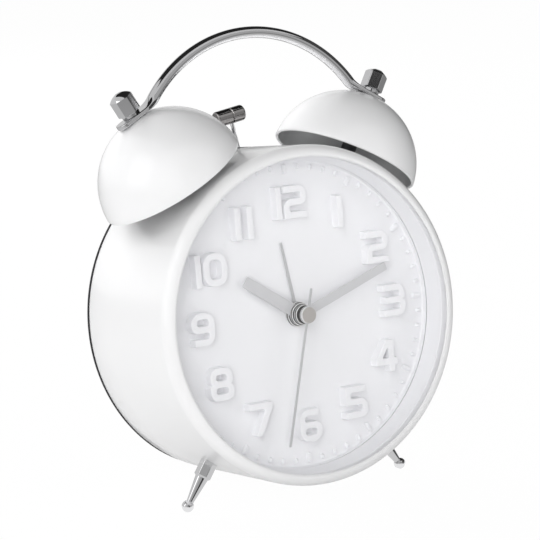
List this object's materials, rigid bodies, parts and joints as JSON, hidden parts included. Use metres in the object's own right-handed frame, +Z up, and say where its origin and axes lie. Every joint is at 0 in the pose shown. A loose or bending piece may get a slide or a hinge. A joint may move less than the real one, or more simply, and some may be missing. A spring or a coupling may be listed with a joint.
{
  "type": "twin-bell alarm clock",
  "caption": "White lacquered drum alarm clock with two tilted bells, a chromed carrying handle, a hammer between the bells, raised numerals and ball-ended feet, leaning slightly back.",
  "frame": {"origin": "on the table, under the middle of the clock's box", "axes": "-Y is the way the dial faces, +Z is up, +X is to the right seen from the front; the drum's axis leans back about 8 degrees"},
  "size_m": [0.1042, 0.0636, 0.1383],
  "materials": {
    "white_lacquer": "gloss white lacquer on pressed steel",
    "white_plastic": "satin white moulding",
    "clear_lens": "clear polished lens",
    "satin_silver": "satin lacquered sheet",
    "turned_metal": "bright turned metal",
    "brass": "cut brass",
    "movement_plastic": "natural engineering plastic",
    "copper_winding": "enamelled copper wire, wound",
    "soft_iron": "stamped iron",
    "board_green": "lacquered board",
    "zinc_steel": "zinc plated steel",
    "chrome": "bright chrome plate",
    "gunmetal": "dark nickel plate",
    "black_plastic": "fine-grained black moulding",
    "cell_jacket": "plain printed jacket"
  },
  "bodies": {
    "case": {"drum_case": "white_lacquer", "lens": "clear_lens", "spacer_ring": "white_plastic", "dial": "white_plastic", "hour_numerals": "white_plastic", "movement_front": "movement_plastic", "movement_back": "movement_plastic", "train_bridge": "movement_plastic", "stepper_coil": "copper_winding", "stepper_stator": "soft_iron", "circuit_board": "board_green", "quartz_crystal": "zinc_steel", "movement_screws": "zinc_steel", "bell_left": "white_lacquer", "bell_right": "white_lacquer", "bell_post_left": "zinc_steel", "bell_post_right": "zinc_steel", "bell_post_nuts": "zinc_steel", "bell_nut_left": "chrome", "bell_nut_right": "chrome", "handle": "chrome", "foot_left": "chrome", "foot_right": "chrome", "foot_nuts": "zinc_steel", "hammer_pin": "zinc_steel", "striker_bracket": "zinc_steel", "striker_coil": "copper_winding", "bracket_screws": "zinc_steel", "back_cover": "black_plastic", "back_screws": "zinc_steel", "battery_cell": "cell_jacket", "battery_contact_plus": "zinc_steel", "battery_contact_minus": "zinc_steel"},
    "minute": {"minute_hand": "satin_silver", "minute_hub": "turned_metal", "minute_pipe": "brass"},
    "hour": {"hour_hand": "satin_silver", "hour_hub": "turned_metal", "hour_pipe": "brass"},
    "second": {"second_hand": "satin_silver", "second_hub": "turned_metal", "second_cap": "turned_metal", "second_arbor": "brass"},
    "alarm": {"alarm_hand": "satin_silver", "alarm_hub": "turned_metal", "alarm_pipe": "brass"},
    "motion_work": {"motion_wheel": "brass"},
    "third": {"third_wheel": "brass"},
    "time_set": {"time_set_shaft": "movement_plastic", "time_set_knob": "black_plastic"},
    "alarm_set": {"alarm_set_shaft": "movement_plastic", "alarm_set_knob": "black_plastic"},
    "hammer": {"hammer_head": "gunmetal", "hammer_wire": "gunmetal", "hammer_lever": "black_plastic", "hammer_magnet": "soft_iron"},
    "switch": {"alarm_switch": "black_plastic"},
    "door": {"battery_door": "black_plastic"}
  },
  "joints": [
    {"name": "minute_turn", "type": "hinge", "parent": "case", "child": "minute", "pos_m": [0, -0.01519, 0.055], "axis": [0, 0.9898, -0.1422], "continuous": true},
    {"name": "hour_turn", "type": "hinge", "parent": "case", "child": "hour", "pos_m": [0, -0.01519, 0.055], "axis": [0, 0.9898, -0.1422], "continuous": true},
    {"name": "second_turn", "type": "hinge", "parent": "case", "child": "second", "pos_m": [0, -0.01519, 0.055], "axis": [0, 0.9898, -0.1422], "continuous": true},
    {"name": "motion_turn", "type": "hinge", "parent": "case", "child": "motion_work", "pos_m": [0.0075, -0.01652, 0.04572], "axis": [0, 0.9898, -0.1422], "continuous": true},
    {"name": "third_turn", "type": "hinge", "parent": "case", "child": "third", "pos_m": [-0.0045, -0.01408, 0.06271], "axis": [0, 0.9898, -0.1422], "continuous": true},
    {"name": "time_set_turn", "type": "hinge", "parent": "case", "child": "time_set", "pos_m": [0.015, -0.01519, 0.055], "axis": [0, 0.9898, -0.1422], "continuous": true},
    {"name": "alarm_turn", "type": "hinge", "parent": "case", "child": "alarm", "pos_m": [0, -0.01519, 0.055], "axis": [0, 0.9898, -0.1422], "continuous": true},
    {"name": "alarm_set_turn", "type": "hinge", "parent": "case", "child": "alarm_set", "pos_m": [-0.015, -0.01519, 0.055], "axis": [0, 0.9898, -0.1422], "continuous": true},
    {"name": "hammer_swing", "type": "hinge", "parent": "case", "child": "hammer", "pos_m": [0, 0.01269, 0.08736], "axis": [0, 0.9898, -0.1422], "range_deg": [-9.3, 30.8], "stiffness_Nm_per_rad": 0.003},
    {"name": "switch_slide", "type": "slide", "parent": "case", "child": "switch", "axis": [1, 0, 0], "range_m": [0, 0.005]},
    {"name": "door_swing", "type": "hinge", "parent": "case", "child": "door", "pos_m": [0, 0.01863, 0.01579], "axis": [-1, 0, 0], "range_deg": [0, 60]}
  ],
  "couplings": [
    {"joint": "hour_turn", "follows": "minute_turn", "ratio": 0.083333},
    {"joint": "second_turn", "follows": "minute_turn", "ratio": 60},
    {"joint": "motion_turn", "follows": "minute_turn", "ratio": -0.33333},
    {"joint": "third_turn", "follows": "minute_turn", "ratio": -8},
    {"joint": "time_set_turn", "follows": "minute_turn", "ratio": 1},
    {"joint": "alarm_set_turn", "follows": "alarm_turn", "ratio": -4}
  ]
}
